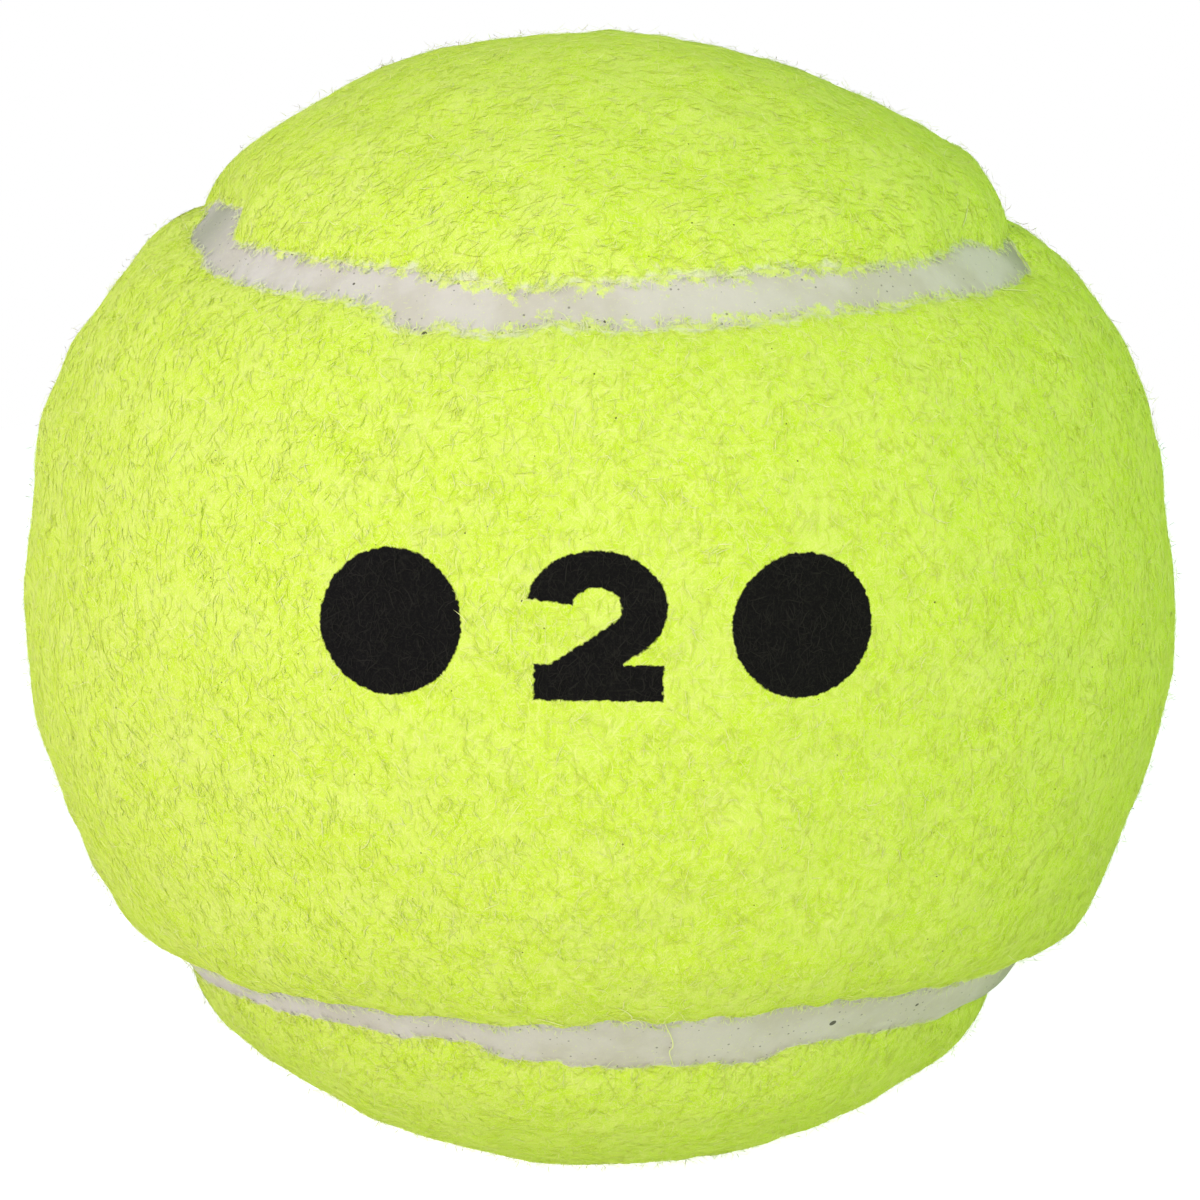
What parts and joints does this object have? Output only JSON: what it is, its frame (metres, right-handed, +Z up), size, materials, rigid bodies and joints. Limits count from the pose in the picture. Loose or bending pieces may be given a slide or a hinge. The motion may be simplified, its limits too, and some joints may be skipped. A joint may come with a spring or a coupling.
{
  "type": "tennis ball",
  "caption": "Optic yellow tennis ball: interlocking dumbbell felt panels with a rubber seam, bonded over a hollow core of half-shells.",
  "frame": {"origin": "centre of the ball", "axes": "+Z up, -Y from the centre through the middle of the front felt panel's waist, +X and -X through its two lobes"},
  "size_m": [0.0668, 0.0668, 0.0668],
  "materials": {
    "felt": "matted wool and nylon nap, optic yellow",
    "seam_rubber": "matt, pale grey, with fine pits",
    "core_rubber": "matt, moulded and buffed",
    "bonding_cement": "satin, dried rubber cement"
  },
  "bodies": {
    "root": {"core_shell_upper": "core_rubber", "core_shell_lower": "core_rubber", "core_joint_cement": "bonding_cement", "cover_cement": "bonding_cement", "felt_panel_front": "felt", "felt_panel_back": "felt", "seam_cement": "seam_rubber"}
  },
  "joints": []
}
